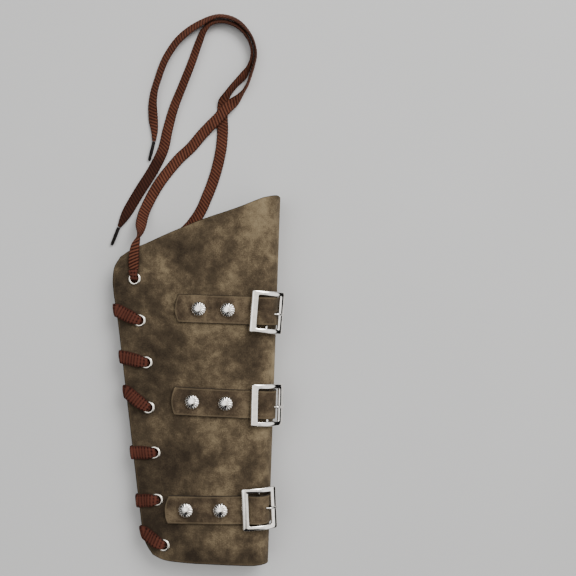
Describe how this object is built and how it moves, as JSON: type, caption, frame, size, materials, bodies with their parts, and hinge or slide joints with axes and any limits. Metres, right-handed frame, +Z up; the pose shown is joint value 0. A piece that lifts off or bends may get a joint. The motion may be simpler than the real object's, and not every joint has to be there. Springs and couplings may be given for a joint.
{
  "type": "laced leather armband",
  "caption": "Flat-folded suede forearm guard with buckled straps round its fold, domed studs, and a flat braided lace that closes the open edge and ends in two long free tails.",
  "frame": {"origin": "centre of the armband's footprint, without its free lace ends, on the surface it lies on", "axes": "+X to the folded edge, +Y along the forearm to the elbow end, +Z up from the surface"},
  "size_m": [0.1245, 0.385, 0.0349],
  "materials": {
    "suede": "mottled suede",
    "strap_leather": "suede with burnished edges",
    "chrome": "polished",
    "nickel": "satin",
    "lace": "flat braid",
    "dark_tip": "dark tip"
  },
  "bodies": {
    "root": {"leather_shell": "suede", "strap_upper": "strap_leather", "buckle_upper": "chrome", "prong_upper": "chrome", "stud_upper_front_1": "chrome", "stud_upper_front_2": "chrome", "stud_upper_back_1": "chrome", "stud_upper_back_2": "chrome", "strap_middle": "strap_leather", "buckle_middle": "chrome", "prong_middle": "chrome", "stud_middle_front_1": "chrome", "stud_middle_front_2": "chrome", "stud_middle_back_1": "chrome", "stud_middle_back_2": "chrome", "strap_lower": "strap_leather", "buckle_lower": "chrome", "prong_lower": "chrome", "stud_lower_front_1": "chrome", "stud_lower_front_2": "chrome", "stud_lower_back_1": "chrome", "stud_lower_back_2": "chrome", "eyelet_front_1": "nickel", "eyelet_front_2": "nickel", "eyelet_front_3": "nickel", "eyelet_front_4": "nickel", "eyelet_front_5": "nickel", "eyelet_front_6": "nickel", "eyelet_front_7": "nickel", "eyelet_back_1": "nickel", "eyelet_back_2": "nickel", "eyelet_back_3": "nickel", "eyelet_back_4": "nickel", "eyelet_back_5": "nickel", "eyelet_back_6": "nickel", "eyelet_back_7": "nickel", "lacing": "lace", "lace_tail_front": "lace", "lace_tail_back": "lace", "aglet_front": "dark_tip", "aglet_back": "dark_tip"}
  },
  "joints": []
}
